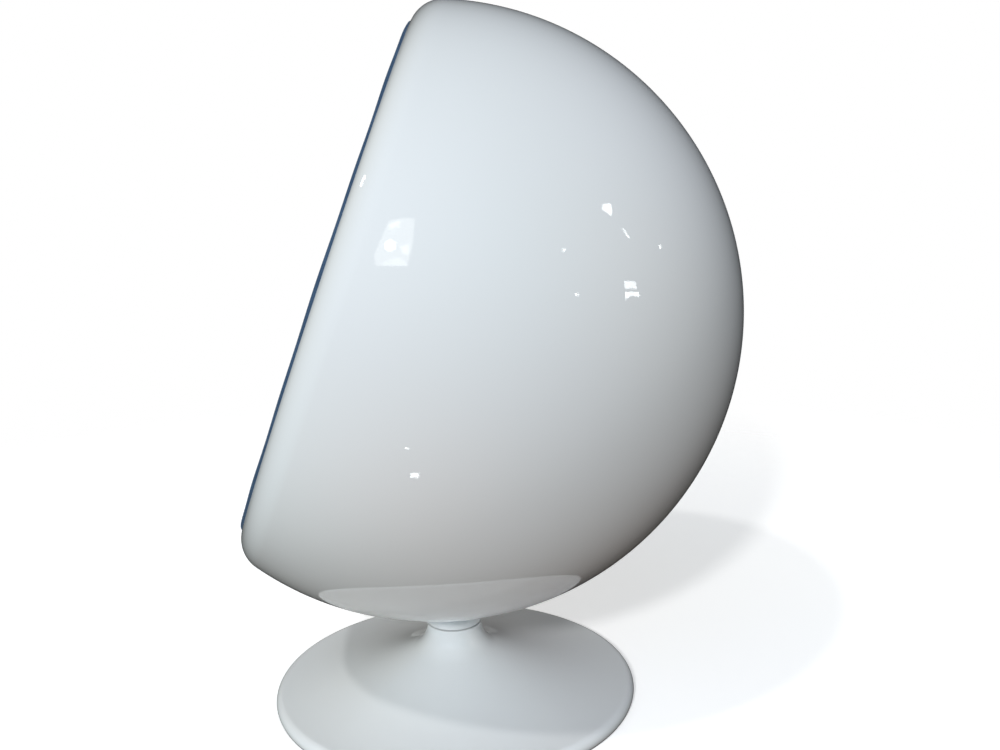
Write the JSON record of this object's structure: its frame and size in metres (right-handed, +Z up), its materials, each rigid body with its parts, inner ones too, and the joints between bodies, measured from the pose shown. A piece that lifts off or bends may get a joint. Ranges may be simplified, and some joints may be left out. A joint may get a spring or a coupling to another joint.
{
  "type": "pod chair",
  "caption": "Ball-shaped pod chair: white moulded shell with a tilted round opening and padded inside, turning on a trumpet base.",
  "frame": {"origin": "on the floor, where the swivel axis meets it", "axes": "+Z up along the swivel axis; -Y is the front, where the pod opens; X across the chair"},
  "size_m": [1.0599, 0.8843, 1.2432],
  "materials": {
    "gelcoat_white": "gloss",
    "base_white": "gloss",
    "collar_white": "gloss",
    "felt_grey": "matte",
    "steel_black": "satin",
    "plywood": "matte",
    "zinc_steel": "satin",
    "bearing_steel": "polished",
    "nylon": "satin",
    "piping_blue": "matte",
    "lining_blue": "matte",
    "cushion_blue": "matte"
  },
  "bodies": {
    "base": {"base_pad": "felt_grey", "base_plate": "steel_black", "base_cover": "base_white", "cover_blocks": "plywood", "cover_screws": "zinc_steel", "column_tube": "steel_black", "column_gussets": "steel_black", "lower_bush": "nylon", "upper_bush": "nylon", "lower_race": "bearing_steel"},
    "bearing_cage": {"ball_cage": "nylon", "bearing_balls": "bearing_steel"},
    "pod": {"upper_race": "bearing_steel", "spindle": "bearing_steel", "retaining_washer": "zinc_steel", "circlip": "zinc_steel", "pod_collar": "collar_white", "shell": "gelcoat_white", "backing_plate": "steel_black", "clamp_washers": "zinc_steel", "clamp_bolts": "zinc_steel", "rim_piping": "piping_blue", "lining_centre": "lining_blue", "lining_panel_1": "lining_blue", "lining_panel_2": "lining_blue", "lining_panel_3": "lining_blue", "lining_panel_4": "lining_blue", "lining_panel_5": "lining_blue", "lining_panel_6": "lining_blue", "lining_panel_7": "lining_blue", "lining_panel_8": "lining_blue", "seat_deck": "plywood", "deck_rib_across": "plywood", "deck_rib_along": "plywood", "deck_screws": "zinc_steel", "seat_cushion": "cushion_blue", "back_cushion": "cushion_blue"}
  },
  "joints": [
    {"name": "pod_swivel", "type": "hinge", "parent": "base", "child": "pod", "pos_m": [0, 0, 0.128], "axis": [0, 0, 1], "continuous": true},
    {"name": "cage_turn", "type": "hinge", "parent": "base", "child": "bearing_cage", "pos_m": [0, 0, 0.123], "axis": [0, 0, 1], "continuous": true}
  ],
  "couplings": [
    {"joint": "cage_turn", "follows": "pod_swivel", "ratio": 0.5}
  ]
}
